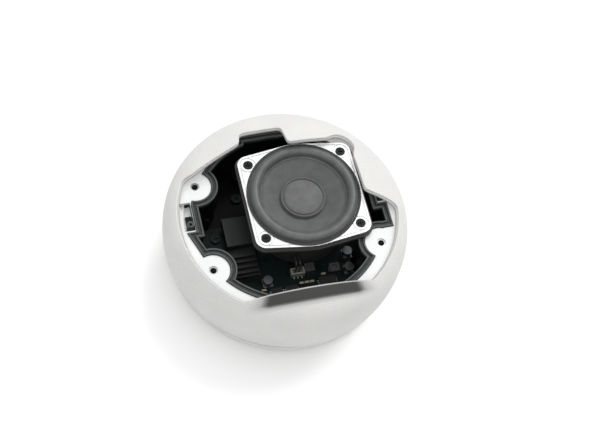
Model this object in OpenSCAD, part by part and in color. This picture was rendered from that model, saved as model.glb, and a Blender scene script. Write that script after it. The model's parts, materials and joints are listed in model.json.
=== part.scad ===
// Puck-shaped smart speaker, cut away over its driver.
// Origin: centre of the footprint, on the surface it stands on. +Z up, sockets at +Y.

/* [Body] */
// Widest diameter over the cloth
body_d = 98; // [97.5:0.5:100]
// Height of the whole dome, before it is cut away
body_h = 42; // [42:0.5:44]
// Height of the widest place above the table
equator_z = 19; // [18.5:0.5:19.5]
// Exponent of the squarish dome curve
squareness = 2.8; // [2.7:0.1:2.9]
// Height of the curve below the widest place, as if it ran on to a point
belly_h = 25.5; // [25:0.5:26]
// Thickness of the cloth skin
cloth_t = 0.9; // [0.8:0.1:1]
// Wall of the rigid shell under the cloth
shell_t = 1.4; // [1.2:0.1:1.5]
// Height of the lower hem of the cloth
hem_z = 4.3; // [4.2:0.1:4.5]

/* [Base] */
// Diameter of the base plate
base_d = 91.6; // [91:0.2:92]
// Thickness of the silicone pad
pad_t = 1.2; // [1:0.1:1.2]
// Diameter of the silicone pad
pad_d = 84; // [80:1:84]
// Diameter of the wall hook's entry hole
hook_d = 8; // [7:0.5:8]
// Width of the wall hook's slot
hook_slot_w = 4; // [3.5:0.5:4]

/* [Deck] */
// Half spacing of the boss lobes across the body
boss_x = 33.5; // [33.3:0.1:33.7]
// Half spacing of the boss lobes front to back
boss_y = 18.5; // [18.3:0.1:18.7]
// Hole down each boss
boss_hole_d = 3.6; // [3.4:0.1:3.8]
// Height of the white deck's face
deck_z = 29.5; // [29.3:0.1:29.6]
// Radius of each boss lobe
lobe_r = 6.4; // [6.2:0.1:6.5]

/* [Tub] */
// Outer radius of the black rim
rim_r = 38; // [37.8:0.1:38.2]
// Width of the black rim
rim_w = 2.5; // [2.3:0.1:2.6]
// Height of the rim's two ribs above the rim
rib_h = 1; // [0.8:0.1:1.1]
// Wall and floor thickness
tub_t = 1.5; // [1.4:0.1:1.6]

/* [Cut-away] */
// Radius of the cut's round edge
cut_r = 43.6; // [43.4:0.1:43.7]
// Straight front edge, ahead of the middle
cut_front = 35.6; // [35:0.2:36]
// Edge to the right of the driver
cut_right = 30.5; // [30:0.5:31]
// Edge behind the driver
cut_back = 26.5; // [26:0.5:27]
// Edge over the back tab
cut_tab = 35; // [34:0.5:35]

/* [Driver] */
// Driver centre, to the right of the middle
driver_x = 7.6; // [7.4:0.1:7.8]
// Driver centre, behind the middle
driver_y = 6; // [5.8:0.1:6.2]
// Bolt spacing across the driver plate
bolt_x = 38; // [37.6:0.1:38.4]
// Bolt spacing front to back
bolt_y = 33; // [32.6:0.1:33.4]
// Largest radius of the rubber half roll
roll_r = 21.6; // [21.4:0.1:21.8]
// Radius of the cone's outer edge
cone_r = 17.2; // [17.1:0.1:17.3]
// Radius of the dust cap
cap_r = 9; // [8.9:0.1:9.2]
// Radius of the dark cup behind the driver
cup_r = 19.9; // [19.8:0.05:19.95]

/* [Sockets] */
// Hole for the power plug
plug_d = 6; // [5.8:0.1:6]
// Travel of the microphone slider
mute_travel = 2; // [1.6:0.1:2]

/* [Hidden] */
$fn = 96;
eps = 0.01;
slack = 0.2;

// Body
body_r = body_d / 2;
crown_h = body_h - equator_z;
base_r = base_d / 2;
base_top = 3.8;

// Cut-away
cut_round = 2;
cut_corner_r = 5.8;
cut_tab_x = [-14, 5];
cut_step = [[body_r, -8.6], [cut_right, 0.5]];
cut_shoulder = [[cut_tab_x[0], 30], [-36, 20], [-body_r, 20]];

// Deck
deck_t = 1.4;
deck_r = 43.9;
skirt_r = 42.2;
skirt_t = 1.4;
skirt_z = 7.4;
post_r = 3.4;
post_bore = 1.3;
insert_h = 5;
insert_z = deck_z - insert_h - 0.4;
pocket_y = [-0.5, 12];
pocket_x = [36.8, 41];
mic_z = 25.4;

// Tub
tub_z = 6.5;
rim_top = deck_z - 0.3;
tab_x = 40.2;
tab_y = [-12.2, -1.3];
circle_y = -10;
top_tab_x = [-13, 9.5];
top_tab_y = 37.8;
flat_x = 36.5;
pedestal_r = 14.8;
pedestal_bore = 11.2;
cup_z = 12;

// Sockets
bay_w = 27;
bay_y = 28.5;
bay_z = 12.8;
panel_w = 23.6;
panel_z = [4.1, 12.3];
panel_y = [39.4, 41];
port_z = 8.4;
panel_wall = 0.8;
jack_x = -6;
slider_x = 5;

// Driver, heights above the table
plate_z = [31.6, 33.2];
plate_hole_r = 18.2;
basket_r = 18.8;
basket_z = 22.4;
cup_t = 1;
roll_mid = (roll_r + cone_r) / 2;
roll_h = (roll_r - cone_r) / 2;

// Electronics
pcb_z = 9.6;
pcb_t = 1.4;
pcb_top = pcb_z + pcb_t;
pcb_holes = [[-27.5, 3], [-16, -27], [20, -25], [28, -4]];
tub_screw_r = 26;
tub_screw_angles = [125, 215, 325];

// ---------- shared shapes ----------

// Point on the dome curve at angle t, moved in by the given depth
function dome_point(t, depth) = [
  (body_r - depth) * pow(cos(t), 2 / squareness),
  equator_z + ((t < 0 ? belly_h : crown_h) - depth) * sign(t) * pow(abs(sin(t)), 2 / squareness)
];

// Solid of revolution between two depths below the cloth's face
module dome_wall(outer, inner, bottom) {
  lowest = -48;
  highest = 75;
  outer_line = [for (t = [lowest:3:highest]) dome_point(t, outer)];
  inner_line = [for (t = [highest:-3:lowest]) dome_point(t, inner)];
  rotate_extrude($fn = 180) intersection() {
    polygon(concat(outer_line, inner_line));
    translate([0, bottom]) square([body_d, body_h]);
  }
}

// Everything inside the dome curve at one depth
module dome_solid(depth) {
  line = [for (t = [-48:3:90]) dome_point(t, depth)];
  rotate_extrude($fn = 180) polygon(concat([[0, line[0][1]]], line));
}

// Plan of the cut-away: round, straight across the front, and stepped around the driver plate
module opening_outline() {
  offset(cut_round) offset(-2 * cut_round) offset(cut_round) union() {
    intersection() {
      circle(cut_r, $fn = 180);
      polygon(concat([[-body_r, -cut_front], [body_r, -cut_front]], cut_step,
        [[cut_right, cut_back], [cut_tab_x[1], cut_back], [cut_tab_x[1], cut_tab],
        [cut_tab_x[0], cut_tab]], cut_shoulder));
    }
    translate([driver_x + bolt_x / 2, driver_y + bolt_y / 2]) circle(cut_corner_r);
  }
}

module opening() {
  translate([0, 0, equator_z + 4]) linear_extrude(body_h) opening_outline();
}

// The socket bay's way out through the walls
module port_window(margin, top = panel_z[1]) {
  half = panel_w / 2 + margin;
  translate([-half, bay_y, -eps]) cube([2 * half, body_r, top + margin]);
}

module at_bosses() {
  for (x = [-boss_x, boss_x], y = [-boss_y, boss_y]) translate([x, y, 0]) children();
}

module at_driver() {
  translate([driver_x, driver_y, 0]) children();
}

module at_bolts() {
  at_driver() for (x = [-bolt_x / 2, bolt_x / 2], y = [-bolt_y / 2, bolt_y / 2])
    translate([x, y, 0]) children();
}

// Room for the pillars that the driver's bolts screw into
module bolt_room() {
  at_bolts() translate([0, 0, 25.8]) cylinder(r = 2.4, h = 10);
}

// The rim's plan outline, moved in by a given depth (out when negative)
module rim_outline(depth) {
  difference() {
    union() {
      intersection() {
        circle(rim_r - depth, $fn = 180);
        translate([-flat_x + depth, -rim_r]) square([2 * (flat_x - depth), 2 * rim_r]);
      }
      intersection() {
        circle(rim_r - depth, $fn = 180);
        translate([-rim_r, -rim_r]) square([2 * rim_r, rim_r + circle_y]);
      }
      translate([0, tab_y[0] + depth])
        square([tab_x - depth, tab_y[1] - tab_y[0] - 2 * depth]);
      polygon([[0, tab_y[1] - depth], [-tab_x + 1.44 * depth, tab_y[1] - depth],
        [-36 + 1.07 * depth, -12.5], [0, -12.5]]);
      translate([top_tab_x[0] + depth, 0])
        square([top_tab_x[1] - top_tab_x[0] - 2 * depth, top_tab_y - depth]);
    }
    for (x = [-boss_x, boss_x], y = [-boss_y, boss_y])
      translate([x, y]) circle(lobe_r + slack + depth);
  }
}

// A band of the rim between two depths
module rim_band(from, to, z, h) {
  translate([0, 0, z]) linear_extrude(h) difference() {
    rim_outline(from);
    rim_outline(to);
  }
}

module tube(r_out, r_in, z, h) {
  translate([0, 0, z]) difference() {
    cylinder(r = r_out, h = h);
    translate([0, 0, -eps]) cylinder(r = r_in, h = h + 2 * eps);
  }
}

// A pan-head screw, head up, its head resting at height z
module screw(z, head_r, head_h, shank_r, length) {
  translate([0, 0, z]) difference() {
    union() {
      cylinder(r = head_r, h = head_h);
      translate([0, 0, -length]) cylinder(r = shank_r, h = length);
    }
    for (a = [0, 90]) rotate(a) translate([-head_r * 0.6, -0.2, head_h * 0.45])
      cube([head_r * 1.2, 0.4, head_h]);
  }
}

// The driver plate's outline, grown by a margin
module plate_outline(margin) {
  hull() {
    circle(23.1 + margin, $fn = 64);
    for (x = [-bolt_x / 2, bolt_x / 2], y = [-bolt_y / 2, bolt_y / 2])
      translate([x, y]) circle(4.2 + margin, $fn = 32);
  }
}

module chip(x, y, size) {
  translate([x - size[0] / 2, y - size[1] / 2, pcb_top]) cube(size);
}

// ---------- base ----------

module hook_outline(margin) {
  translate([0, -16]) circle(hook_d / 2 + margin);
  translate([0, -8]) circle(hook_slot_w / 2 + margin);
  translate([-hook_slot_w / 2 - margin, -16]) square([hook_slot_w + 2 * margin, 8]);
}

module foot_pad() {
  color("#c9c6c0") difference() {
    rotate_extrude($fn = 180) polygon([[0, 0], [pad_d / 2 - 0.6, 0], [pad_d / 2, 0.6],
      [pad_d / 2, pad_t], [0, pad_t]]);
    translate([0, 0, -eps]) linear_extrude(pad_t + 2 * eps) hook_outline(2);
  }
}

module base_plate() {
  seat_h = hem_z - base_top + 0.3;
  lip = pad_d / 2 + 0.3;
  color("#e9e8e4") difference() {
    union() {
      rotate_extrude($fn = 180) polygon([[0, pad_t], [lip, pad_t], [lip, 0.5],
        [base_r - 0.8, 0.5], [base_r, 1.3], [base_r, base_top], [0, base_top]]);
      tube(tub_screw_r + 2, tub_screw_r - 2, base_top - eps, tub_z - base_top + eps);
      difference() {
        tube(43.4, 42, base_top - eps, seat_h);
        port_window(0.6);
      }
      for (x = [-9, 9]) translate([x, 34, base_top - eps]) cylinder(r = 1.6, h = 0.6);
    }
    translate([0, 0, -eps]) linear_extrude(tub_z) hook_outline(0);
    at_bosses() {
      translate([0, 0, pad_t - eps]) cylinder(r = 3, h = 1.8 + eps);
      translate([0, 0, pad_t]) cylinder(r = 1.5, h = base_top);
    }
    for (a = tub_screw_angles) rotate(a) translate([tub_screw_r, 0, 2.4])
      cylinder(r = 0.95, h = tub_z);
  }
}

module base_seal() {
  color("#2a2b2b") difference() {
    tube(44.2, 43.6, base_top, 0.3);
    port_window(0.6);
  }
}

module base_screws() {
  color("#8d8f91") at_bosses() mirror([0, 0, 1]) screw(-(pad_t + 1.8), 2.8, 1.6, 1.25, 12);
}

// ---------- deck, cover ----------

module mid_frame() {
  color("#f4f4f2") difference() {
    union() {
      difference() {
        union() {
          translate([0, 0, deck_z - deck_t]) cylinder(r = deck_r, h = deck_t, $fn = 180);
          difference() {
            tube(skirt_r, skirt_r - skirt_t, skirt_z, deck_z - deck_t - skirt_z + eps);
            port_window(0.5, deck_z - deck_t - 0.5);
          }
        }
        translate([0, 0, deck_z - deck_t - 1]) linear_extrude(deck_t + 2)
          rim_outline(-slack);
        for (side = [-1, 1]) scale([side, 1, 1])
          translate([pocket_x[0], pocket_y[0], deck_z - deck_t - 1])
            cube([pocket_x[1] - pocket_x[0], pocket_y[1] - pocket_y[0], deck_t + 2]);
        translate([top_tab_x[0], 30, deck_z - deck_t - 1])
          cube([top_tab_x[1] - top_tab_x[0], 11, deck_t + 2]);
      }
      for (side = [-1, 1]) scale([side, 1, 1]) intersection() {
        translate([pocket_x[0], pocket_y[0], mic_z - 1.2])
          cube([8, pocket_y[1] - pocket_y[0], 1.2]);
        cylinder(r = skirt_r - 0.5, h = deck_z);
      }
      at_bosses() translate([0, 0, base_top]) cylinder(r = post_r, h = deck_z - base_top - 1);
    }
    at_bosses() {
      translate([0, 0, base_top - eps]) cylinder(r = post_bore, h = deck_z);
      translate([0, 0, insert_z]) cylinder(d = boss_hole_d, h = deck_z);
    }
    bolt_room();
  }
}

module boss_inserts() {
  color("#8d8f91") at_bosses() tube(boss_hole_d / 2, 1.25, insert_z, insert_h);
}

module grille_shell() {
  lug_w = 5;
  color("#d9d8d4") {
    difference() {
      dome_wall(cloth_t, cloth_t + shell_t, hem_z + 0.3);
      opening();
      port_window(0.2);
    }
    for (a = [15:60:315]) intersection() {
      rotate(a) translate([skirt_r + 0.6, -lug_w / 2, deck_z - deck_t - 3])
        cube([5, lug_w, 2.7]);
      dome_solid(cloth_t + shell_t - eps);
    }
  }
}

module fabric_cover() {
  color("#e6e5e1") difference() {
    dome_wall(0, cloth_t, hem_z);
    opening();
    port_window(0.2);
  }
}

// ---------- tub ----------

module bay(margin) {
  translate([-bay_w / 2 - margin, bay_y - margin, -eps])
    cube([bay_w + 2 * margin, rim_r, bay_z + margin]);
}

module chassis_tub() {
  floor_top = tub_z + tub_t;
  color("#17191a") difference() {
    union() {
      translate([0, 0, tub_z]) linear_extrude(rim_top - tub_z) rim_outline(0.6);
      rim_band(0, rim_w, rim_top - 1.5, 1.5);
      rim_band(0, 0.65, rim_top - eps, rib_h);
      rim_band(rim_w - 0.65, rim_w, rim_top - eps, rib_h);
    }
    difference() {
      translate([0, 0, floor_top]) linear_extrude(rim_top) rim_outline(0.6 + tub_t);
      bay(tub_t);
      at_driver() tube(pedestal_r, pedestal_bore, tub_z, cup_z - tub_z);
      for (p = pcb_holes) translate([p[0], p[1], tub_z]) cylinder(r = 2, h = pcb_z - tub_z);
      for (a = [142:10:162]) rotate(a) translate([30.5, -0.5, floor_top - eps])
        cube([6, 1, 9]);
      rim_band(0.5, rim_w, rim_top - 1.5, 1.6 + rib_h);
    }
    bay(0);
    at_driver() {
      translate([0, 0, cup_z]) cylinder(r = cup_r + slack, h = deck_z);
      for (a = [90, 210, 330]) rotate(a) translate([13, 0, 0]) cylinder(r = 1.1, h = cup_z + 1);
    }
    for (p = pcb_holes) translate([p[0], p[1], floor_top]) cylinder(r = 0.85, h = pcb_z);
    for (a = tub_screw_angles) rotate(a) translate([tub_screw_r, 0, 0])
      cylinder(r = 1.2, h = floor_top + 1);
    bolt_room();
  }
}

module rim_gasket() {
  color("#6d7274") difference() {
    rim_band(0.85, rim_w - 0.85, rim_top, 0.5);
    bolt_room();
  }
}

module tub_screws() {
  color("#3a3c3e") for (a = tub_screw_angles) rotate(a) translate([tub_screw_r, 0, 0])
    screw(tub_z + tub_t, 2.1, 1.2, 0.9, 5.4);
}

module cup_screws() {
  color("#3a3c3e") at_driver() for (a = [90, 210, 330]) rotate(a) translate([13, 0, 0])
    mirror([0, 0, 1]) screw(-tub_z, 2, 1.2, 0.9, 6.6);
}

// ---------- driver ----------

module driver_cup() {
  color("#2b2d2e") at_driver() difference() {
    union() {
      translate([0, 0, cup_z]) cylinder(r = cup_r, h = plate_z[0] - cup_z, $fn = 180);
      translate([0, 0, 30.4]) linear_extrude(plate_z[0] - 30.4) plate_outline(0.9);
      for (x = [-bolt_x / 2, bolt_x / 2], y = [-bolt_y / 2, bolt_y / 2])
        translate([x, y, 26]) cylinder(r = 2.2, h = 5);
    }
    translate([0, 0, cup_z + 1.4]) cylinder(r = cup_r - cup_t, h = 30, $fn = 180);
    for (x = [-bolt_x / 2, bolt_x / 2], y = [-bolt_y / 2, bolt_y / 2])
      translate([x, y, 26.6]) cylinder(r = 0.95, h = 8);
    for (a = [90, 210, 330]) rotate(a) translate([13, 0, cup_z - eps]) cylinder(r = 0.95, h = 1.2);
    translate([-6, -cup_r, 18.6]) rotate([-90, 0, 0]) cylinder(r = 1.4, h = 8);
  }
}

module driver_frame() {
  color("#d7d9da") at_driver() difference() {
    union() {
      translate([0, 0, plate_z[0]]) linear_extrude(plate_z[1] - plate_z[0]) plate_outline(0);
      tube(basket_r, basket_r - 0.7, basket_z, plate_z[0] - basket_z + eps);
      tube(basket_r, 9.6, basket_z, 0.8);
      tube(basket_r, 16.4, 24.2, 0.6);
    }
    translate([0, 0, 31]) cylinder(r = plate_hole_r - 0.1, h = 3, $fn = 180);
    for (x = [-bolt_x / 2, bolt_x / 2], y = [-bolt_y / 2, bolt_y / 2]) translate([x, y, 0]) {
      translate([0, 0, plate_z[1] - 1]) cylinder(r = 2, h = 2);
      cylinder(r = 1.1, h = 40);
      tube(3.2, 2.9, plate_z[1] - 0.25, 1);
    }
    translate([0, 0, plate_z[1] - 0.2]) linear_extrude(1) difference() {
      plate_outline(-0.8);
      plate_outline(-1.1);
      circle(22.9);
    }
    for (a = [45:90:315]) rotate(a) translate([12.6, -2.5, basket_z - eps]) cube([3.4, 5, 1]);
  }
}

module frame_gasket() {
  color("#101111") at_driver() tube(22.7, roll_r + 0.1, plate_z[1], 0.45);
}

module frame_screws() {
  color("#1b1c1d") at_bolts() screw(plate_z[1] - 1, 1.8, 0.95, 0.9, 5);
}

module surround() {
  thick = 0.45;
  arc = [for (a = [0:12:180]) [roll_mid + roll_h * cos(a), plate_z[1] + 0.1 + 0.9 * roll_h * sin(a)]];
  inner = [for (a = [180:-12:0])
    [roll_mid + (roll_h - thick) * cos(a), plate_z[1] + 0.1 + (0.9 * roll_h - thick) * sin(a)]];
  color("#3f4143") at_driver() rotate_extrude($fn = 180) union() {
    polygon(concat(arc, inner));
    translate([roll_r - 1.1, plate_z[1]]) square([1.1, 0.35]);
    translate([cone_r - 0.6, plate_z[1] + 0.1]) square([1.1, 0.35]);
  }
}

module cone() {
  color("#4c4e50") at_driver() rotate_extrude($fn = 180) polygon([
    [8.2, 29.3], [9.4, 29.7], [12, 30.9], [15, 32.2], [cone_r, plate_z[1] - 0.4],
    [cone_r, plate_z[1] + 0.05], [15, 32.7], [12, 31.4], [9.4, 30.2], [8.2, 29.8]
  ]);
}

module dust_cap() {
  top = [for (a = [0:9:90]) [8 * cos(a), 30.9 + 1.5 * sin(a)]];
  under = [for (a = [90:-9:0]) [7.6 * cos(a), 30.5 + 1.4 * sin(a)]];
  color("#55585a") at_driver() rotate_extrude($fn = 180) union() {
    polygon(concat(top, under));
    polygon([[7.6, 30.5], [8.3, 30.3], [cap_r, 30.25], [cap_r, 31], [cap_r - 0.3, 31.3],
      [8.5, 31.3], [8.2, 31], [8, 30.9]]);
  }
}

module voice_coil_former() {
  color("#b98c4c") at_driver() tube(8.15, 7.9, 17.9, 11.9);
}

module voice_coil() {
  color("#9c5b2e") at_driver() tube(8.7, 8.16, 18.4, 5.4);
}

module spider() {
  wave = [for (r = [8.2:0.4:17.8]) [r, 25.1 + 0.35 * sin((r - 8.2) * 150)]];
  back = [for (r = [17.8:-0.4:8.2]) [r, 24.8 + 0.35 * sin((r - 8.2) * 150)]];
  color("#c8b36e") at_driver() translate([0, 0, 0.4]) rotate_extrude() polygon(concat(wave, back));
}

module top_plate() {
  color("#9a9da0") at_driver() tube(15, 8.98, 20.4, 2);
}

module magnet() {
  color("#2e2f31") at_driver() tube(14.6, 9.8, 15.4, 5);
}

module yoke() {
  color("#8f9295") at_driver() difference() {
    union() {
      translate([0, 0, cup_z + 1.4]) cylinder(r = 15, h = 2);
      translate([0, 0, cup_z + 3.4 - eps]) cylinder(r = 7.6, h = 7 + eps);
    }
    translate([0, 0, cup_z]) cylinder(r = 2, h = 12);
  }
}

// ---------- electronics ----------

module main_pcb() {
  color("#14301f") translate([0, 0, pcb_z]) difference() {
    linear_extrude(pcb_t) difference() {
      intersection() {
        rim_outline(2.8);
        translate([-rim_r, -rim_r]) square([2 * rim_r, rim_r + 8]);
      }
      translate([driver_x, driver_y]) circle(pedestal_r + 0.6);
    }
    for (p = pcb_holes) translate([p[0], p[1], -1]) cylinder(r = 1.1, h = 4);
  }
}

module pcb_screws() {
  color("#b7babc") for (p = pcb_holes) translate([p[0], p[1], 0])
    screw(pcb_top, 1.8, 1, 0.8, 2.6);
}

module soc_shield() {
  color("#a9acae") chip(-18.6, -11, [11, 11, 1.8]);
}

module thermal_pad() {
  color("#7f8fa3") translate([-23.5, -15.5, pcb_top + 1.8]) cube([9, 9, 0.8]);
}

module heat_spreader() {
  z = pcb_top + 2.6;
  color("#1d1f21") {
    translate([-24.4, -17, z]) cube([10.8, 13.5, 1.4]);
    translate([-24.5, -4.5, z]) cube([10.5, 12.5, 5]);
    for (y = [-16:2.4:-8]) translate([-23.9, y, z + 1.4 - eps]) cube([9.8, 0.9, 1.6]);
  }
}

module amp_chip() {
  color("#202224") chip(13, -24.5, [7, 7, 1]);
}

module memory_chips() {
  color("#26282a") for (x = [-8, -2]) chip(x, -25.5, [4.6, 6, 0.9]);
}

module capacitors() {
  color("#b4b7ba") for (p = [[23.5, -12.5], [22.5, -19.5], [-11, -19.5]])
    translate([p[0], p[1], pcb_top]) {
      cylinder(r = 1.9, h = 3.4);
      translate([-2, -2, 0]) cube([4, 4, 0.6]);
    }
}

module inductors() {
  color("#4a4d50") for (p = [[6.8, -16.4], [16.8, -18.2]]) translate([p[0], p[1], pcb_top]) {
    difference() {
      translate([-2, -1.8, 0]) cube([4, 3.6, 2.2]);
      translate([0, 0, 1.6]) cylinder(r = 1.3, h = 1);
    }
  }
}

module chip_passives() {
  spots = [[-13, -22.5], [-12, -25.5], [2.5, -22], [4.6, -22], [6.7, -22], [4, -26], [6.4, -26],
    [8.6, -29.6], [10.8, -29.6], [12, -19.6], [24.5, -22.6], [-29.5, -6.5], [-29.5, -9],
    [1.5, -29.6], [-6, -30.2]];
  color("#c2a97a") for (p = spots) chip(p[0], p[1], [1.5, 0.8, 0.7]);
}

module speaker_connector() {
  color("#dcd6c4") difference() {
    chip(1.6, -17.6, [5.6, 2.8, 3]);
    translate([-0.6, -18.4, pcb_top + 1.4]) cube([4.4, 1.6, 2]);
  }
}

// Two wires up from the header, bent over and in through the cup's side
module speaker_wires() {
  wire_r = 0.5;
  bend = 2.2;
  rise = 18.6 - bend;
  color("#a8322b") for (x = [0.8, 2.4]) translate([x, -17.6, 0]) {
    translate([0, 0, 12.5]) cylinder(r = wire_r, h = rise - 12.5, $fn = 24);
    translate([0, bend, rise]) rotate([90, 0, 90]) rotate([0, 0, 90])
      rotate_extrude(angle = 90, $fn = 32) translate([bend, 0]) circle(wire_r, $fn = 24);
    translate([0, bend, rise + bend]) rotate([-90, 0, 0])
      cylinder(r = wire_r, h = 4.4, $fn = 24);
  }
}

module mic_boards() {
  color("#123b6b") for (side = [-1, 1]) scale([side, 1, 1])
    translate([37, 0, mic_z]) cube([2.6, 7.5, 0.8]);
}

module mic_boots() {
  color("#2f3133") for (side = [-1, 1]) translate([side * 38.4, 1.9, 0])
    tube(1.4, 0.6, mic_z + 0.8, 4.4);
}

module antenna_carrier() {
  width = top_tab_x[1] - top_tab_x[0] - 1;
  color("#8b8e8f") difference() {
    translate([top_tab_x[0] + 0.5, top_tab_y + 0.3, deck_z - 1.3]) union() {
      cube([width, 1.9, 1.1]);
      cube([width, 1.1, 1.4]);
    }
    for (x = [-10, 6]) translate([x, 0, deck_z - 0.6]) cube([0.8, 50, 2]);
  }
}

module antenna() {
  color("#23282a") translate([-9, top_tab_y + 0.5, deck_z + 0.1]) cube([14.8, 0.8, 0.25]);
}

// ---------- sockets ----------

module port_panel() {
  color("#dededb") difference() {
    translate([-panel_w / 2, panel_y[0], panel_z[0]])
      cube([panel_w, panel_y[1] - panel_y[0], panel_z[1] - panel_z[0]]);
    translate([jack_x, panel_y[0] - 1, port_z]) rotate([-90, 0, 0]) cylinder(d = plug_d, h = 4);
    translate([slider_x - 1.4, panel_y[0] - 1, port_z - 1.2])
      cube([2.8 + mute_travel, 4, 2.4]);
  }
}

// Four walls round the sockets, from the panel out to just under the cloth
module port_bezel() {
  high = panel_z[1] - panel_z[0];
  color("#e4e3e0") intersection() {
    translate([-panel_w / 2, panel_y[1], panel_z[0]]) difference() {
      cube([panel_w, 12, high]);
      translate([panel_wall, -1, panel_wall])
        cube([panel_w - 2 * panel_wall, 14, high - 2 * panel_wall]);
    }
    dome_solid(0.4);
  }
}

module port_board() {
  color("#14301f") translate([-11.4, 28.9, 4.4]) cube([22.8, 10.3, 0.8]);
}

module power_jack() {
  color("#222426") translate([jack_x, 0, 0]) difference() {
    translate([-4, 29.4, 5.2]) cube([8, 9.9, 6.4]);
    translate([0, 31, port_z]) rotate([-90, 0, 0]) cylinder(r = 2.75, h = 10);
  }
}

module jack_pin() {
  color("#c9ccce") translate([jack_x, 31, port_z]) rotate([-90, 0, 0]) {
    cylinder(r = 0.95, h = 7);
    translate([0, 0, 7 - eps]) cylinder(r = 0.6, h = 0.4);
  }
}

module mute_switch() {
  color("#3b3e40") difference() {
    translate([slider_x - 2.9, 33, 5.2]) cube([6 + mute_travel, 6.3, 6]);
    translate([slider_x - 2.1, 36.1, port_z - 1.6]) cube([4.2 + mute_travel, 4, 3.2]);
  }
}

module mute_slider() {
  color("#e2703a") translate([slider_x, 0, port_z]) {
    translate([-1.7, 36.4, -1.3]) cube([3.4, 2.5, 2.6]);
    translate([-1.1, 38.9 - eps, -0.9]) cube([2.2, 3.3, 1.8]);
  }
}

foot_pad();
base_plate();
base_seal();
base_screws();
mid_frame();
boss_inserts();
grille_shell();
fabric_cover();
chassis_tub();
rim_gasket();
tub_screws();
cup_screws();
driver_cup();
driver_frame();
frame_gasket();
frame_screws();
surround();
cone();
dust_cap();
voice_coil_former();
voice_coil();
spider();
top_plate();
magnet();
yoke();
main_pcb();
pcb_screws();
soc_shield();
thermal_pad();
heat_spreader();
amp_chip();
memory_chips();
capacitors();
inductors();
chip_passives();
speaker_connector();
speaker_wires();
mic_boards();
mic_boots();
antenna_carrier();
antenna();
port_panel();
port_bezel();
port_board();
power_jack();
jack_pin();
mute_switch();
mute_slider();
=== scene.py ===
"""Looks of the puck speaker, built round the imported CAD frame. Metres, +Z up, sockets at +Y."""
import json
import math

import bmesh
import bpy
from mathutils import Matrix, Vector


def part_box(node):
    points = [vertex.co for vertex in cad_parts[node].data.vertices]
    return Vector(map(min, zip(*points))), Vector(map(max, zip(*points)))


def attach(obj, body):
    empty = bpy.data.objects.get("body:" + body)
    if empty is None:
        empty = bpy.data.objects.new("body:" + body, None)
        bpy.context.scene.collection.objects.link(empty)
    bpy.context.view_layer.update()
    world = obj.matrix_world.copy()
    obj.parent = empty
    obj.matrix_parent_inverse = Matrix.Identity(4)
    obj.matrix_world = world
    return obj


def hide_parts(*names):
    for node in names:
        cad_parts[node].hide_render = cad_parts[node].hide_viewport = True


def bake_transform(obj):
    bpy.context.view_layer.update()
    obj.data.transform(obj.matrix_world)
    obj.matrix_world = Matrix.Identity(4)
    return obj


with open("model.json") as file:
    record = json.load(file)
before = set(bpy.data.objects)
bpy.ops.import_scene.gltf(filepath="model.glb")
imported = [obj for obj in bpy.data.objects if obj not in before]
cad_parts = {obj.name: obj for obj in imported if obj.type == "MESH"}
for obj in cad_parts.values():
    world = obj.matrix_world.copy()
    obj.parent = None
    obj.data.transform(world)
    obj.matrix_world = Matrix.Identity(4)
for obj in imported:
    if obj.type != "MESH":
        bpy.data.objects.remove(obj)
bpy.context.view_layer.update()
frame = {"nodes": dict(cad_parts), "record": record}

MM = 0.001
TAU = 2 * math.pi
NODES = frame["nodes"]


# ---------- measures taken from the frame ----------

def middle(node):
    low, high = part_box(node)
    return (low + high) / 2


def top_of(node):
    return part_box(node)[1].z


BODY_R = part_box("fabric_cover")[1].x
# The dome curve's own numbers, as in the part's source
EQUATOR_Z = 19 * MM
CROWN_H = 23 * MM
BELLY_H = 25.5 * MM
SQUARENESS = 2.8
HEM_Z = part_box("fabric_cover")[0].z
DRIVER = Vector((middle("dust_cap").x, middle("dust_cap").y, 0))
CONE_R = (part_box("cone")[1].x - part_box("cone")[0].x) / 2
ROLL_R = (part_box("surround")[1].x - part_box("surround")[0].x) / 2
CAP_R = (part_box("dust_cap")[1].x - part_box("dust_cap")[0].x) / 2
PLATE_TOP = top_of("driver_frame")
PCB_TOP = top_of("main_pcb")
RIM_TOP = top_of("chassis_tub")
# The socket window in the cover, and the half angle of cloth that is drawn in around it
WINDOW_HALF = 12.1 * MM
WINDOW_TOP = 12.5 * MM
WINDOW_SECTOR = math.radians(15.5)
WINDOW_ROWS = 14
# Along the front of the cut-away the cloth's colour is painted dark grey as painted shade: where, how far,
# and how softly
SHADE_BAND_CENTRE = -89
SHADE_BAND_HALF, SHADE_BAND_SIDE_FADE = 36, 12
SHADE_BAND_DEPTH, SHADE_BAND_DEPTH_FADE = 7.4 * MM, 3.4 * MM
# Solid margin of the punched shell along its cut edge
SOLID_MARGIN = 4 * MM
COIL_HOLE_R = 8.2 * MM


# ---------- materials ----------

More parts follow.
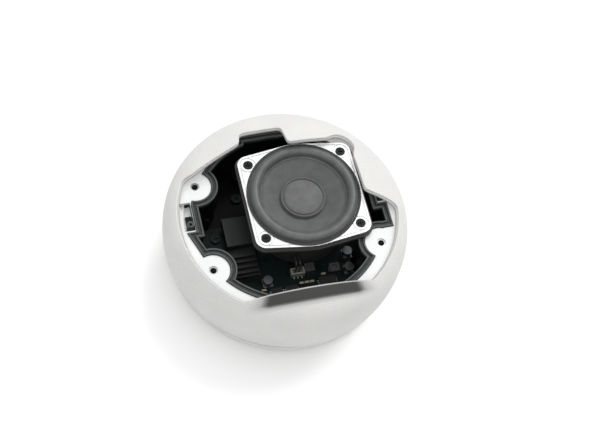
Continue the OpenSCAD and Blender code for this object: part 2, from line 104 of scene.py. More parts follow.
class Surface:
    """A Principled material with helpers that add procedural colour, gloss and relief."""

    def __init__(self, name, colour, rough, metal=0.0, **sockets):
        self.material = bpy.data.materials.new(name)
        self.material.use_nodes = True
        self.tree = self.material.node_tree
        self.shader = self.tree.nodes["Principled BSDF"]
        self.colour = colour
        self.rough = rough
        self.height = None
        self.shader.inputs["Base Color"].default_value = (*colour, 1)
        self.shader.inputs["Roughness"].default_value = rough
        self.shader.inputs["Metallic"].default_value = metal
        for socket, value in sockets.items():
            self.shader.inputs[socket.replace("_", " ")].default_value = value
        self.place = self.node("ShaderNodeTexCoord").outputs["Object"]

    def node(self, kind, **settings):
        made = self.tree.nodes.new(kind)
        for key, value in settings.items():
            if key in made.inputs:
                made.inputs[key].default_value = value
            else:
                setattr(made, key, value)
        return made

    def link(self, out, into):
        self.tree.links.new(out, into)

    def math(self, operation, a, b=None):
        made = self.node("ShaderNodeMath", operation=operation)
        for index, value in enumerate((a, b)):
            if value is None:
                continue
            if isinstance(value, (int, float)):
                made.inputs[index].default_value = value
            else:
                self.link(value, made.inputs[index])
        return made.outputs[0]

    def noise(self, size, detail=2.0, place=None, stretch=None):
        """Noise with features of the given size in metres."""
        made = self.node("ShaderNodeTexNoise", Scale=1 / size, Detail=detail)
        source = place or self.place
        if stretch:
            mapping = self.node("ShaderNodeMapping")
            mapping.inputs["Scale"].default_value = stretch
            self.link(source, mapping.inputs["Vector"])
            source = mapping.outputs["Vector"]
        self.link(source, made.inputs["Vector"])
        return made.outputs["Fac"]

    def tint(self, factor, dark, light, low=0.3, high=0.7, shade=None):
        """Base colour runs from dark to light, both as shares of the material's own colour."""
        ramp = self.node("ShaderNodeValToRGB")
        if shade is not None:
            ramp.color_ramp.elements.new(0.5)
        stops = [(low, dark), (high, light)] if shade is None else [(0, shade), (low, dark), (high, light)]
        for element, (position, share) in zip(ramp.color_ramp.elements, stops):
            element.position = position
            element.color = (*(min(1, c * share) for c in self.colour), 1)
        self.link(factor, ramp.inputs["Fac"])
        self.link(ramp.outputs["Color"], self.shader.inputs["Base Color"])
        return self

    def gloss(self, factor, low, high):
        spread = self.node("ShaderNodeMapRange")
        spread.inputs["To Min"].default_value = low
        spread.inputs["To Max"].default_value = high
        self.link(factor, spread.inputs["Value"])
        self.link(spread.outputs["Result"], self.shader.inputs["Roughness"])
        return self

    def relief(self, height, depth, strength=1.0):
        """Bump of the given depth in metres, stacked on what is there already."""
        bump = self.node("ShaderNodeBump", Strength=strength, Distance=depth)
        self.link(height, bump.inputs["Height"])
        if self.height:
            self.link(self.height, bump.inputs["Normal"])
        self.height = bump.outputs["Normal"]
        self.link(self.height, self.shader.inputs["Normal"])
        return self


def plastic(name, colour, rough, grain=0.35 * MM, depth=0.02 * MM, spread=0.12, shine=0.5):
    """Moulded plastic: faint mottling, spark-eroded grain and uneven gloss."""
    surface = Surface(name, colour, rough, Specular_IOR_Level=shine)
    surface.tint(surface.noise(9 * MM, 4), 1 - spread, 1 + spread / 2)
    surface.gloss(surface.noise(1.6 * MM, 3), rough - 0.07, rough + 0.09)
    surface.relief(surface.noise(grain, 2), depth)
    return surface


def rubber(name, colour, rough=0.62):
    """Matt rubber with dust-pale mottling and a fine skin."""
    surface = Surface(name, colour, rough, Sheen_Weight=0.1, Sheen_Roughness=0.5)
    surface.tint(surface.noise(3.5 * MM, 5), 0.82, 1.18)
    surface.gloss(surface.noise(0.7 * MM, 3), rough - 0.08, rough + 0.1)
    surface.relief(surface.noise(0.22 * MM, 3), 0.015 * MM)
    return surface


def metal(name, colour, rough, brushed=(1, 1, 1), grain=0.12 * MM, depth=0.006 * MM):
    """Bare or plated metal with fine tool marks."""
    surface = Surface(name, colour, rough, 1.0)
    marks = surface.noise(grain, 3, stretch=brushed)
    surface.tint(surface.noise(2.2 * MM, 4), 0.86, 1.06)
    surface.gloss(marks, rough - 0.08, rough + 0.12)
    surface.relief(marks, depth)
    return surface


def knit_cells(surface, pitch):
    """Staggered cells of a fine knit, 0 on the yarn and 1 in the holes, laid over the dome."""
    laid = surface.node("ShaderNodeAttribute", attribute_name="cloth")
    split = surface.node("ShaderNodeSeparateXYZ")
    surface.link(laid.outputs["Vector"], split.inputs["Vector"])
    wave = TAU / (2 * pitch)
    across = surface.math("SINE", surface.math("MULTIPLY", split.outputs["X"], wave * 1.25))
    along = surface.math("SINE", surface.math("MULTIPLY", split.outputs["Y"], wave))
    cells = surface.math("ABSOLUTE", surface.math("MULTIPLY", across, along))
    return laid, surface.math("POWER", cells, 2.2)


def knit_cloth(name, colour):
    """Fine warp knit. Along the front of the cut-away its colour is painted dark grey as painted shade."""
    surface = Surface(name, colour, 0.86, Sheen_Weight=0.2, Sheen_Roughness=0.45)
    laid, holes = knit_cells(surface, 0.86 * MM)
    painted_shade = surface.node("ShaderNodeAttribute", attribute_name="painted_shade").outputs["Fac"]
    yarn = surface.noise(0.1 * MM, 2, laid.outputs["Vector"], (1, 3, 1))
    cloudy = surface.noise(13 * MM, 4)
    # painted shade: the knit's holes are painted darker than the yarn, over random cloudy tone
    mixed = surface.math("SUBTRACT", surface.math("ADD", surface.math("MULTIPLY", cloudy, 0.2), 0.66),
                         surface.math("MULTIPLY", holes, 0.22))
    mixed = surface.math("ADD", mixed, surface.math("MULTIPLY", yarn, 0.12))
    # painted shade: the cloth's colour drops to the dark shade stop along the front of the cut-away
    mixed = surface.math("MULTIPLY", mixed, surface.math("SUBTRACT", 1, painted_shade))
    surface.tint(mixed, 0.62, 1.04, 0.25, 0.86, shade=0.065)
    surface.relief(surface.math("SUBTRACT", 1, holes), 0.1 * MM, 0.7)
    surface.relief(yarn, 0.04 * MM, 0.5)
    return surface


def punched_shell(name, colour):
    """Moulded shell with rows of small sound holes painted nearly black as painted shade, with a bump,
    solid at its edge.
    """
    surface = Surface(name, colour, 0.5)
    holes = knit_cells(surface, 1.5 * MM)[1]
    gap = surface.node("ShaderNodeAttribute", attribute_name="gap").outputs["Fac"]
    # painted shade: the holes are painted nearly black, outside the solid margin
    holes_painted_dark = surface.math("MULTIPLY", surface.math("GREATER_THAN", holes, 0.42),
                             surface.math("GREATER_THAN", gap, SOLID_MARGIN))
    surface.tint(surface.math("SUBTRACT", 1, holes_painted_dark), 0.06, 1.0)
    surface.relief(surface.math("SUBTRACT", 1, holes_painted_dark), 0.3 * MM)
    return surface


def tub_plastic(name, colour):
    """Black moulding with low specular, its colour painted darker down in the well as painted shade and
    far lighter on the sealing rim on top as a painted highlight, mottled by noise.
    """
    surface = Surface(name, colour, 0.4, Specular_IOR_Level=0.07)
    split = surface.node("ShaderNodeSeparateXYZ")
    surface.link(surface.place, split.inputs["Vector"])
    height = surface.node("ShaderNodeMapRange")
    height.inputs["From Min"].default_value = RIM_TOP - 2.5 * MM
    height.inputs["From Max"].default_value = RIM_TOP + 0.9 * MM
    surface.link(split.outputs["Z"], height.inputs["Value"])
    # painted shade and painted highlight: colour set by height, dark down in the well and light on the
    # sealing rim
    painted_light_by_height = surface.math("MULTIPLY", height.outputs["Result"], surface.math(
        "ADD", surface.math("MULTIPLY", surface.noise(2.2 * MM, 4), 0.6), 0.6))
    surface.tint(painted_light_by_height, 0.5, 15.0, 0.08, 0.95)
    surface.gloss(surface.noise(1.6 * MM, 3), 0.26, 0.46)
    surface.relief(surface.noise(0.35 * MM, 2), 0.02 * MM)
    return surface


def cone_pulp(name, colour):
    """Pressed pulp cone with a soft coating and short fibres. short fibres and very fine pressed rings."""
    surface = Surface(name, colour, 0.66, Sheen_Weight=0.1, Sheen_Roughness=0.6)
    fibres = surface.noise(0.5 * MM, 5, stretch=(1, 0.35, 1))
    surface.tint(surface.noise(4 * MM, 4), 0.84, 1.14)
    surface.gloss(fibres, 0.56, 0.78)
    surface.relief(fibres, 0.03 * MM)
    return surface


def circuit_board(name, colour):
    """Dark solder mask over copper pours, with the weave of the board faintly showing."""
    surface = Surface(name, colour, 0.34, Specular_IOR_Level=0.1)
    pours = surface.node("ShaderNodeTexVoronoi", Scale=1 / (5 * MM), distance="MANHATTAN")
    surface.link(surface.place, pours.inputs["Vector"])
    surface.tint(pours.outputs["Distance"], 0.7, 1.7, 0.1, 0.55)
    surface.relief(surface.noise(0.3 * MM, 2), 0.01 * MM)
    return surface


def wound_wire(name, colour):
    """Close-wound wire: fine ridges stacked along Z, the grooves between the turns painted darker as
    painted shade.
    """
    surface = Surface(name, colour, 0.35, 1.0)
    split = surface.node("ShaderNodeSeparateXYZ")
    surface.link(surface.place, split.inputs["Vector"])
    turns = surface.math("ABSOLUTE", surface.math("SINE", surface.math(
        "MULTIPLY", split.outputs["Z"], TAU / (0.36 * MM))))
    # painted shade: darker in the grooves between turns
    surface.tint(turns, 0.55, 1.1)
    surface.relief(turns, 0.05 * MM)
    return surface


def make_materials():
    return {
        "cloth": knit_cloth("cloth", (0.70, 0.695, 0.68)),
        "shell_white": punched_shell("shell_white", (0.70, 0.695, 0.68)),
        "deck_white": plastic("deck_white", (0.76, 0.77, 0.765), 0.34, spread=0.05),
        "base_white": plastic("base_white", (0.78, 0.775, 0.76), 0.42, spread=0.06),
        "tub_black": tub_plastic("tub_black", (0.008, 0.0088, 0.0088)),
        "cup_grey": plastic("cup_grey", (0.04, 0.041, 0.038), 0.44, spread=0.2, shine=0.25),
        "silicone": rubber("silicone", (0.47, 0.465, 0.45), 0.55),
        "gasket": rubber("gasket", (0.012, 0.0125, 0.013)),
        "roll_rubber": rubber("roll_rubber", (0.085, 0.088, 0.087), 0.42),
        "boot_rubber": rubber("boot_rubber", (0.05, 0.051, 0.052)),
        "cone_paper": cone_pulp("cone_paper", (0.085, 0.087, 0.087)),
        "cap_plastic": cone_pulp("cap_plastic", (0.105, 0.107, 0.106)),
        "plate_silver": metal("plate_silver", (0.56, 0.565, 0.565), 0.42, grain=0.2 * MM),
        "steel": metal("steel", (0.5, 0.51, 0.52), 0.32, (1, 1, 12)),
        "screw_black": metal("screw_black", (0.018, 0.019, 0.02), 0.36),
        "screw_zinc": metal("screw_zinc", (0.4, 0.41, 0.42), 0.34),
        "ferrite": plastic("ferrite", (0.03, 0.03, 0.033), 0.45, 0.2 * MM, 0.03 * MM),
        "former_foil": metal("former_foil", (0.45, 0.36, 0.24), 0.35),
        "coil_wire": wound_wire("coil_wire", (0.45, 0.18, 0.07)),
        "spider_cloth": rubber("spider_cloth", (0.42, 0.33, 0.16), 0.7),
        "board": circuit_board("board", (0.004, 0.0075, 0.007)),
        "shield": metal("shield", (0.3, 0.31, 0.32), 0.4),
        "pad_blue": rubber("pad_blue", (0.12, 0.15, 0.19)),
        "spreader": plastic("spreader", (0.013, 0.014, 0.014), 0.4, 0.15 * MM, shine=0.2),
        "chip_black": plastic("chip_black", (0.012, 0.013, 0.014), 0.42, 0.15 * MM, shine=0.25),
        "can_alu": metal("can_alu", (0.16, 0.165, 0.17), 0.36, (1, 1, 10)),
        "ferrite_part": plastic("ferrite_part", (0.05, 0.052, 0.055), 0.45),
        "part_tan": plastic("part_tan", (0.34, 0.29, 0.21), 0.4),
        "header_ivory": plastic("header_ivory", (0.24, 0.235, 0.205), 0.42),
        "wire_black": rubber("wire_black", (0.015, 0.015, 0.016), 0.4),
        "carrier_grey": plastic("carrier_grey", (0.17, 0.175, 0.175), 0.45),
        "slider_orange": plastic("slider_orange", (0.7, 0.2, 0.04), 0.38),
    }


MATERIALS = make_materials()


def paint(piece, slot):
    piece.data.materials.clear()
    piece.data.materials.append(MATERIALS[slot].material)
    return piece


# ---------- meshes ----------

def make_piece(name, points, faces, slot, body="housing"):
    mesh = bpy.data.meshes.new(name)
    mesh.from_pydata([tuple(p) for p in points], [], faces)
    mesh.validate()
    work = bmesh.new()
    work.from_mesh(mesh)
    bmesh.ops.recalc_face_normals(work, faces=work.faces)
    work.to_mesh(mesh)
    work.free()
    for polygon in mesh.polygons:
        polygon.use_smooth = True
    piece = bpy.data.objects.new(name, mesh)
    bpy.context.scene.collection.objects.link(piece)
    paint(piece, slot)
    if body:
        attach(piece, body)
    return piece


def lathe(name, profile, slot, body, steps=288):
    """A closed profile of (radius, height) points turned about the driver's axis."""
    count = len(profile)
    points = [DRIVER + Vector((r * math.cos(a), r * math.sin(a), z))
              for a in (TAU * k / steps for k in range(steps)) for r, z in profile]
    faces = [(k * count + i, k * count + (i + 1) % count,
              (k + 1) % steps * count + (i + 1) % count, (k + 1) % steps * count + i)
             for k in range(steps) for i in range(count)]
    return make_piece(name, points, faces, slot, body)


def smooth_line(points, steps=6):
    """A Catmull-Rom curve through the points."""
    padded = [points[0], *points, points[-1]]
    line = []
    for a, b, c, d in zip(padded, padded[1:], padded[2:], padded[3:]):
        for k in range(steps):
            u = k / steps
            line.append(tuple(0.5 * (2 * q + (r - p) * u + (2 * p - 5 * q + 4 * r - s) * u * u
                                     + (3 * q - p - 3 * r + s) * u ** 3)
                              for p, q, r, s in zip(a, b, c, d)))
    line.append(points[-1])
    return line


def thicken(line, thickness):
    """A closed profile: the line, and the same line moved to its right by the thickness."""
    back = []
    for k, (r, z) in enumerate(line):
        before, after = line[max(k - 1, 0)], line[min(k + 1, len(line) - 1)]
        along = Vector((after[0] - before[0], after[1] - before[1])).normalized()
        back.append((r + along.y * thickness, z - along.x * thickness))
    return line + back[::-1]


# ---------- the dome's curve ----------

def dome_point(t, depth):
    """(radius, height) on the dome curve at angle t in radians, moved in by the depth."""
    radius = (BODY_R - depth) * math.cos(t) ** (2 / SQUARENESS)
    rise = ((BELLY_H if t < 0 else CROWN_H) - depth) * abs(math.sin(t)) ** (2 / SQUARENESS)
    return radius, EQUATOR_Z + math.copysign(rise, t)


def curve_lengths(count=3000, low=-0.8, high=math.pi / 2 - 0.01):
    angles = [low + (high - low) * k / count for k in range(count + 1)]
    lengths, last = [0.0], dome_point(angles[0], 0)
    for t in angles[1:]:
        here = dome_point(t, 0)
        lengths.append(lengths[-1] + math.dist(here, last))
        last = here
    return angles, lengths


ANGLES, LENGTHS = curve_lengths()


def interpolate(value, keys, values):
    low, high = 0, len(keys) - 1
    while high - low > 1:
        half = (low + high) // 2
        if keys[half] <= value:
            low = half
        else:
            high = half
    share = (value - keys[low]) / (keys[high] - keys[low])
    return values[low] + (values[high] - values[low]) * min(1, max(0, share))


def length_at_height(z):
    """Length along the lower half of the curve up to height z."""
    share = min(1.0, abs(z - EQUATOR_Z) / (BELLY_H if z < EQUATOR_Z else CROWN_H))
    t = math.copysign(math.asin(share ** (SQUARENESS / 2)), z - EQUATOR_Z)
    return interpolate(t, ANGLES, LENGTHS)


def length_at_radius(r):
    """Length along the curve up to where its upper half has radius r."""
    return interpolate(math.acos((r / BODY_R) ** (SQUARENESS / 2)), ANGLES, LENGTHS)


OPENING_STEP = 2


def opening_radii():
    """The cut-away's radius at each angle, where a ray first crosses the CAD cover's upper edges."""
    cover = NODES["fabric_cover"].data
    nearest = [1.0] * (360 // OPENING_STEP)
    for edge in cover.edges:
        a, b = (cover.vertices[k].co for k in edge.vertices)
        if min(a.z, b.z) < EQUATOR_Z + 6 * MM:
            continue
        start, end = (math.degrees(math.atan2(v.y, v.x)) for v in (a, b))
        turn = (end - start + 180) % 360 - 180
        low = start if turn > 0 else end
        along = b - a
        for k in range(math.ceil(low / OPENING_STEP), math.floor((low + abs(turn)) / OPENING_STEP) + 1):
            angle = math.radians(k * OPENING_STEP)
            across = math.cos(angle) * along.y - math.sin(angle) * along.x
            if abs(across) > 1e-9:
                key = k % len(nearest)
                nearest[key] = min(nearest[key], (a.x * along.y - a.y * along.x) / across)
    return nearest


OPENING = opening_radii()


def opening_at(angle):
    """Radius of the cut-away at an angle in radians, with its corners eased."""
    def raw(a):
        place = (math.degrees(a) % 360) / OPENING_STEP
        k = int(place)
        after = OPENING[(k + 1) % len(OPENING)]
        return OPENING[k % len(OPENING)] * (1 - place + k) + after * (place - k)
    spread = [(-2, 0.1), (-1, 0.24), (0, 0.32), (1, 0.24), (2, 0.1)]
    return sum(raw(angle + math.radians(0.8 * k)) * w for k, w in spread)


def painted_shade_share(angle, gap):
    """Share of painted shade on the cloth: 1 along the front edge of the cut-away, 0 well off it."""
    off = abs((math.degrees(angle) - SHADE_BAND_CENTRE + 180) % 360 - 180)
    sideways = min(1, max(0, (SHADE_BAND_HALF - off) / SHADE_BAND_SIDE_FADE))
    share = sideways * min(1, max(0, (SHADE_BAND_DEPTH - gap) / SHADE_BAND_DEPTH_FADE))
    # painted highlight: on the very cut edge the painted shade is eased to a lighter line
    painted_edge_highlight = 0.55 if gap < 0.3 * MM else 1
    return painted_edge_highlight * share * share * (3 - 2 * share)


def dome_sheet(name, depth, low_z, inset, slot, tuck, columns=720, rows=96):
    """A sheet over the dome with the cut-away and the socket window in it, its edges tucked in."""
    low, window = length_at_height(low_z), length_at_height(WINDOW_TOP)
    apex = LENGTHS[-1]
    points, edges = [], []
    for i in range(columns):
        offset = math.radians(i * 360 / columns - 180)
        edge = length_at_radius(opening_at(math.pi / 2 - offset) + inset)
        levels = [low + (window - low) * k / WINDOW_ROWS for k in range(WINDOW_ROWS)]
        levels += [window + (edge - window) * k / (rows - WINDOW_ROWS)
                   for k in range(rows - WINDOW_ROWS + 1)]
        column = []
        for s in levels:
            t = interpolate(s, LENGTHS, ANGLES)
            r, z = dome_point(t, depth)
            below = interpolate(min(s, window), LENGTHS, ANGLES)
            half = math.asin(WINDOW_HALF / dome_point(below, depth)[0])
            if abs(offset) >= WINDOW_SECTOR:
                share = (abs(offset) - WINDOW_SECTOR) / (math.pi - WINDOW_SECTOR)
                turned = half + share * (math.pi - half)
            else:
                turned = abs(offset) * half / WINDOW_SECTOR
            angle = math.pi / 2 - math.copysign(turned, offset)
            column.append((r, z, angle, s, t))
        points.append(column)
        edges.append(edge)
    folded = []
    for column in points:
        r0, z0, a0, s0, t0 = column[0]
        r1, z1, a1, s1, t1 = column[-1]
        start = [(dome_point(t0, depth + d)[0], z0 + rise, a0, s0 - d - rise)
                 for d, rise in tuck["hem"]]
        end = [(dome_point(t1, depth + d)[0] + out, dome_point(t1, depth + d)[1], a1, s1 + d)
               for d, out in tuck["edge"]]
        folded.append(start + [p[:4] for p in column] + end)
    first = len(tuck["hem"])
    count = len(folded[0])
    coordinates = [Vector((r * math.cos(a), r * math.sin(a), z))
                   for column in folded for r, z, a, s in column]
    laid = [((apex - s) * math.cos(a), (apex - s) * math.sin(a), 0)
            for column in folded for r, z, a, s in column]
    gaps = [edge - s for column, edge in zip(folded, edges) for r, z, a, s in column]
    angles = [a for column in folded for r, z, a, s in column]
    # share of painted shade at each point of the sheet
    painted_shade = [painted_shade_share(a, gap) for a, gap in zip(angles, gaps)]
    faces = []
    for i in range(columns):
        offset = math.radians((i + 0.5) * 360 / columns - 180)
        bottom = first + WINDOW_ROWS if abs(offset) < WINDOW_SECTOR else 0
        j = (i + 1) % columns
        faces += [(i * count + k, j * count + k, j * count + k + 1, i * count + k + 1)
                  for k in range(bottom, count - 1)]
    piece = make_piece(name, coordinates, faces, slot)
    attribute = piece.data.attributes.new("cloth", "FLOAT_VECTOR", "POINT")
    attribute.data.foreach_set("vector", [c for p in laid for c in p])
    piece.data.attributes.new("painted_shade", "FLOAT", "POINT").data.foreach_set("value", painted_shade)
    piece.data.attributes.new("gap", "FLOAT", "POINT").data.foreach_set("value", gaps)
    work = bmesh.new()
    work.from_mesh(piece.data)
    loose = [v for v in work.verts if not v.link_faces]
    bmesh.ops.delete(work, geom=loose, context="VERTS")
    work.to_mesh(piece.data)
    work.free()
    outward = piece.data.polygons[len(piece.data.polygons) // 2]
    if outward.normal.dot(Vector((outward.center.x, outward.center.y, 0))) < 0:
        piece.data.flip_normals()
    return piece


def solidify(piece, thickness):
    shell = piece.modifiers.new("thickness", "SOLIDIFY")
    shell.thickness = thickness
    shell.offset = -1
    shell.use_even_offset = True


def make_cover():
    hem = [(1.6 * MM, 0.5 * MM), (0.9 * MM, 0.0), (0.35 * MM, -0.12 * MM)]
    edge = [(0.08 * MM, -0.06 * MM), (0.22 * MM, -0.1 * MM), (0.5 * MM, -0.08 * MM)]
    cloth = dome_sheet("knit_cover", 0.05 * MM, HEM_Z + 0.2 * MM, 0.12 * MM, "cloth",
                       {"hem": hem, "edge": edge})
    solidify(cloth, 0.3 * MM)
    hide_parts("fabric_cover")
    wall = dome_sheet("grille_wall", 0.95 * MM, HEM_Z + 0.6 * MM, 0.45 * MM, "shell_white",
                      {"hem": [], "edge": []}, columns=360, rows=60)
    solidify(wall, 1.0 * MM)
    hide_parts("grille_shell")
    return cloth, wall


# ---------- driver ----------

def radial_blend(piece):
    """Frees a ring between the moving diaphragm inside and the fixed housing outside from any body, its
    transform baked into its mesh.
    """
    piece.parent = None
    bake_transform(piece)


def make_surround():
    base = PLATE_TOP + 0.3 * MM
    mid, half = (ROLL_R + CONE_R) / 2, (ROLL_R - CONE_R) / 2
    roll = [(mid - half * 0.94 * math.cos(a), base + 0.84 * half * math.sin(a))
            for a in (math.pi * k / 22 for k in range(23))]
    line = ([(CONE_R - 0.75 * MM, base - 0.72 * MM), (CONE_R - 0.3 * MM, base - 0.66 * MM),
             (CONE_R, base - 0.52 * MM)] + roll
            + [(ROLL_R + 0.02 * MM, base)])
    piece = lathe("half_roll", thicken(line, 0.38 * MM), "roll_rubber", None)
    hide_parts("surround")
    radial_blend(piece)


def make_cone():
    z = PLATE_TOP - 0.55 * MM
    line = smooth_line([(COIL_HOLE_R, z - 3.6 * MM), (9.3 * MM, z - 3.15 * MM), (11.6 * MM, z - 2.1 * MM),
                        (14.4 * MM, z - 0.85 * MM), (15.9 * MM, z - 0.27 * MM),
                        (CONE_R - 0.7 * MM, z - 0.02 * MM), (CONE_R - 0.1 * MM, z)])
    piece = lathe("pressed_cone", thicken(line, 0.42 * MM), "cone_paper", "diaphragm")
    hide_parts("cone")


def make_dust_cap():
    z = PLATE_TOP - 3.3 * MM
    line = smooth_line([(CAP_R, z - 0.7 * MM), (CAP_R - 0.02 * MM, z + 0.75 * MM),
                        (CAP_R - 0.3 * MM, z + 1.16 * MM), (CAP_R - 0.62 * MM, z + 1.0 * MM),
                        (CAP_R - 0.85 * MM, z + 0.5 * MM), (CAP_R - 1.1 * MM, z + 0.56 * MM),
                        (CAP_R - 1.35 * MM, z + 0.98 * MM), (CAP_R - 2.2 * MM, z + 1.32 * MM),
                        (CAP_R - 4.4 * MM, z + 1.72 * MM), (CAP_R - 7.0 * MM, z + 1.95 * MM),
                        (0.35 * MM, z + 2.05 * MM)])
    back = [(r, h - 0.4 * MM) for r, h in line[::-1]]
    piece = lathe("ringed_cap", line + back, "cap_plastic", "diaphragm", 192)
    close_centre(piece)
    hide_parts("dust_cap")


def close_centre(piece):
    """Draws the innermost ring of a turned piece together, so that it has no pinhole."""
    work = bmesh.new()
    work.from_mesh(piece.data)
    core = [v for v in work.verts
            if math.hypot(v.co.x - DRIVER.x, v.co.y - DRIVER.y) < 0.36 * MM]
    level = sum(v.co.z for v in core) / len(core)
    for ring in ([v for v in core if v.co.z > level], [v for v in core if v.co.z <= level]):
        centre = (DRIVER.x, DRIVER.y, sum(v.co.z for v in ring) / len(ring))
        bmesh.ops.pointmerge(work, verts=ring, merge_co=centre)
    work.to_mesh(piece.data)
    work.free()


def make_spider():
    low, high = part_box("spider")
    inner, outer, mid = COIL_HOLE_R, (high.x - low.x) / 2, (low.z + high.z) / 2
    line = [(inner + (outer - inner) * k / 96,
             mid + 0.32 * MM * math.sin(TAU * 4.5 * k / 96)) for k in range(97)]
    piece = lathe("corrugated_spider", thicken(line, 0.22 * MM), "spider_cloth", None, 192)
    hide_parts("spider")
    radial_blend(piece)


# ---------- CAD nodes that keep their shape ----------

def soften(node, width):
    """Rounds a CAD node's sharp edges without touching its mesh."""
    piece = NODES[node]
    flat = piece.modifiers.new("join_flats", "DECIMATE")
    flat.decimate_type = "DISSOLVE"
    flat.angle_limit = math.radians(0.6)
    edge = piece.modifiers.new("edges", "BEVEL")
    edge.width = width
    edge.segments = 2
    edge.limit_method = "ANGLE"
    edge.angle_limit = math.radians(38)
    edge.harden_normals = False
    edge.use_clamp_overlap = True
    for polygon in piece.data.polygons:
        polygon.use_smooth = True
    normals = piece.modifiers.new("normals", "WEIGHTED_NORMAL")
    normals.keep_sharp = True
    normals.weight = 80


EDGE_WIDTHS = {
    "foot_pad": 0.3, "base_plate": 0.3, "mid_frame": 0.28, "chassis_tub": 0.14,
    "driver_cup": 0.2, "driver_frame": 0.22, "port_panel": 0.25, "heat_spreader": 0.15,
    "antenna_carrier": 0.25, "soc_shield": 0.25, "speaker_connector": 0.12, "mute_slider": 0.25,
    "mic_boots": 0.2, "capacitors": 0.15, "inductors": 0.15, "frame_screws": 0.06,
    "port_bezel": 0.2,
}


def dress_nodes():
    slots = {s["node"]: s["material_slot"] for s in frame["record"]["subparts"]}
    for name, piece in NODES.items():
        paint(piece, slots[name])
        soften(name, EDGE_WIDTHS.get(name, 0.08) * MM)


# ---------- small parts on the board ----------

def boxes(name, blocks, slot):
    """One piece of many small blocks, each (centre, size), with eased edges."""
    work = bmesh.new()
    for centre, size in blocks:
        made = bmesh.ops.create_cube(work, size=1.0)["verts"]
        bmesh.ops.scale(work, vec=size, verts=made)
        bmesh.ops.translate(work, vec=centre, verts=made)
    mesh = bpy.data.meshes.new(name)
    work.to_mesh(mesh)
    work.free()
    piece = bpy.data.objects.new(name, mesh)
    bpy.context.scene.collection.objects.link(piece)
    paint(piece, slot)
    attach(piece, "housing")
    edge = piece.modifiers.new("edges", "BEVEL")
    edge.width = 0.05 * MM
    edge.segments = 2


def solids_of(node):
    """Boxes of the separate solids in a CAD node."""
    work = bmesh.new()
    work.from_mesh(NODES[node].data)
    bmesh.ops.remove_doubles(work, verts=work.verts, dist=0.001 * MM)
    left, found = set(work.verts), []
    while left:
        stack, group = [left.pop()], []
        while stack:
            vertex = stack.pop()
            group.append(vertex.co.copy())
            for edge in vertex.link_edges:
                other = edge.other_vert(vertex)
                if other in left:
                    left.remove(other)
                    stack.append(other)
        low = Vector([min(c[k] for c in group) for k in range(3)])
        high = Vector([max(c[k] for c in group) for k in range(3)])
        found.append((low, high))
    work.free()
    return found


def make_chip_legs():
    legs = []
    for node, pitch in (("amp_chip", 0.8), ("memory_chips", 0.8)):
        for low, high in solids_of(node):
            count = int((high.y - low.y) / (pitch * MM)) - 1
            for k in range(count):
                y = (low.y + high.y) / 2 + (k - (count - 1) / 2) * pitch * MM
                for x in (low.x - 0.25 * MM, high.x + 0.25 * MM):
                    legs.append(((x, y, PCB_TOP + 0.1 * MM), (0.6 * MM, 0.35 * MM, 0.2 * MM)))
    boxes("chip_legs", legs, "screw_zinc")


def make_solder_ends():
    ends = []
    for low, high in solids_of("chip_passives"):
        mid = (low + high) / 2
        for x in (low.x, high.x):
            ends.append(((x, mid.y, PCB_TOP + 0.3 * MM), (0.34 * MM, 0.86 * MM, 0.66 * MM)))
    for low, high in solids_of("inductors"):
        mid = (low + high) / 2
        for x in (low.x, high.x):
            ends.append(((x, mid.y, PCB_TOP + 0.35 * MM), (0.5 * MM, 2.2 * MM, 0.7 * MM)))
    boxes("solder_ends", ends, "screw_zinc")


def make_header_pins():
    low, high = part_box("speaker_connector")
    mid = (low + high) / 2
    pins = [((mid.x + dx, low.y - 0.35 * MM, PCB_TOP + 0.15 * MM), (0.5 * MM, 0.9 * MM, 0.3 * MM))
            for dx in (-1.6 * MM, 0, 1.6 * MM)]
    boxes("header_pins", pins, "screw_zinc")


# ---------- stage, light and camera ----------

def make_floor():
    mesh = bpy.data.meshes.new("floor")
    size = 3.0
    mesh.from_pydata([(-size, -size, 0), (size, -size, 0), (size, size, 0), (-size, size, 0)],
                     [], [(0, 1, 2, 3)])
    floor = bpy.data.objects.new("floor", mesh)
    bpy.context.scene.collection.objects.link(floor)
    pale = Surface("floor_paint", (0.96, 0.965, 0.96), 0.7)
    pale.tint(pale.noise(0.4, 2), 0.985, 1.0)
    mesh.materials.append(pale.material)


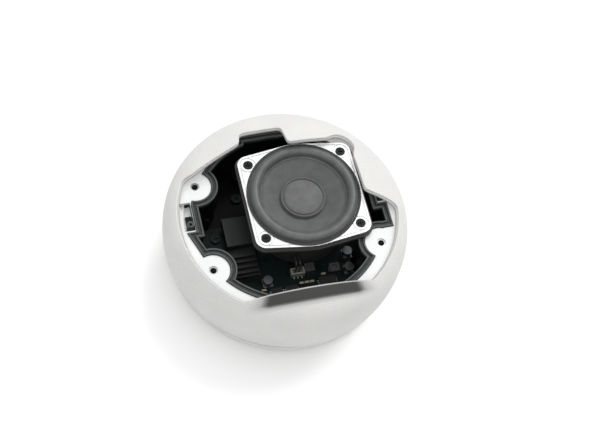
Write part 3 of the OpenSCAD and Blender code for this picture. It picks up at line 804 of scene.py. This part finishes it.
def sun(name, toward, spread, strength):
    """A soft light from far away: the direction it comes from, its width in degrees, its strength."""
    lamp = bpy.data.lights.new(name, "SUN")
    lamp.angle = math.radians(spread)
    lamp.energy = strength
    holder = bpy.data.objects.new(name, lamp)
    holder.location = toward
    holder.rotation_mode = "QUATERNION"
    holder.rotation_quaternion = (-Vector(toward)).to_track_quat("-Z", "Y")
    bpy.context.scene.collection.objects.link(holder)
    return holder


def reach_inside(lamp, covers):
    """Lets a light into the cut-away from the side, as if the covers threw no shadow."""
    group = bpy.data.collections.new("covers")
    for cover in covers:
        group.objects.link(cover)
    for entry in group.collection_objects:
        entry.light_linking.link_state = "EXCLUDE"
    lamp.light_linking.blocker_collection = group


def make_light(covers):
    world = bpy.data.worlds.new("studio")
    world.use_nodes = True
    sky = world.node_tree.nodes["Background"]
    sky.inputs["Color"].default_value = (1, 1, 1, 1)
    sky.inputs["Strength"].default_value = 0.42
    bpy.context.scene.world = world
    key = sun("key", (0.5, 0.5, 0.68), 22, 1.15)
    reach_inside(key, covers)
    sun("overhead", (0.05, 0.15, 0.95), 75, 1.4)
    sun("front", (-0.2, -0.55, 0.8), 30, 0.5)


def make_camera():
    azimuth, elevation, roll = (math.radians(v) for v in (-23.7, 61.8, 12))
    distance, target = 0.48, Vector((0, 0, 0.02))
    back = Vector((math.sin(azimuth) * math.cos(elevation),
                   -math.cos(azimuth) * math.cos(elevation), math.sin(elevation)))
    level = Vector((math.cos(azimuth), math.sin(azimuth), 0))
    upright = back.cross(level)
    right = math.cos(roll) * level + math.sin(roll) * upright
    up = math.cos(roll) * upright - math.sin(roll) * level
    lens = bpy.data.cameras.new("camera")
    lens.sensor_width = 36
    lens.lens = 72
    lens.shift_x, lens.shift_y = 0.0244, 0.0129
    lens.clip_start, lens.clip_end = 0.01, 20
    camera = bpy.data.objects.new("camera", lens)
    camera.matrix_world = Matrix((
        (right.x, up.x, back.x, 0), (right.y, up.y, back.y, 0),
        (right.z, up.z, back.z, 0), (0, 0, 0, 1)))
    camera.location = target + back * distance
    bpy.context.scene.collection.objects.link(camera)
    bpy.context.scene.camera = camera
    bpy.context.scene.view_settings.view_transform = "Standard"


make_camera()
make_floor()
dress_nodes()
make_light(make_cover())
make_surround()
make_cone()
make_dust_cap()
make_spider()
make_chip_legs()
make_solder_ends()
make_header_pins()
